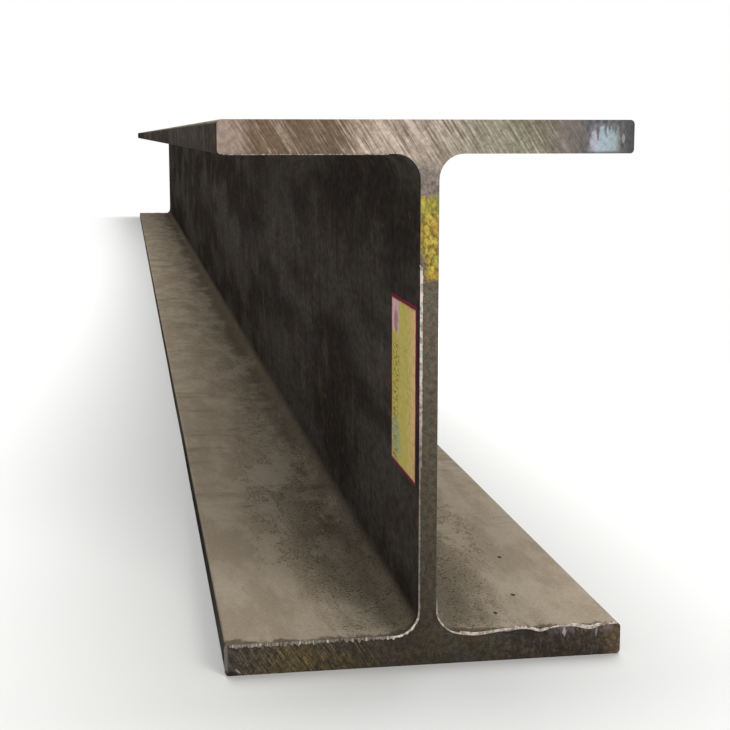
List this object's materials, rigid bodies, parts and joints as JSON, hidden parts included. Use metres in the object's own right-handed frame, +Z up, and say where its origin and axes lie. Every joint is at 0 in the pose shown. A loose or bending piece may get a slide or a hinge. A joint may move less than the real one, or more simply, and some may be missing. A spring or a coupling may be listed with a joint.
{
  "type": "steel h-beam",
  "caption": "Hot-rolled steel H-beam in a stock length, with wide parallel flanges on a filleted web, square sawn ends and a paper stock label.",
  "frame": {"origin": "under the middle of the beam, in the centre of the lower flange's bearing face", "axes": "+Z up through the web, +Y along the length, +X across the flanges; the end with the label is at -Y"},
  "size_m": [0.3, 6, 0.4],
  "materials": {
    "rolled_steel": "hot-rolled mill scale with dust on the upper faces and bare sawn ends",
    "label_paper": "matte"
  },
  "bodies": {
    "root": {"h_beam": "rolled_steel", "stock_label": "label_paper"}
  },
  "joints": []
}
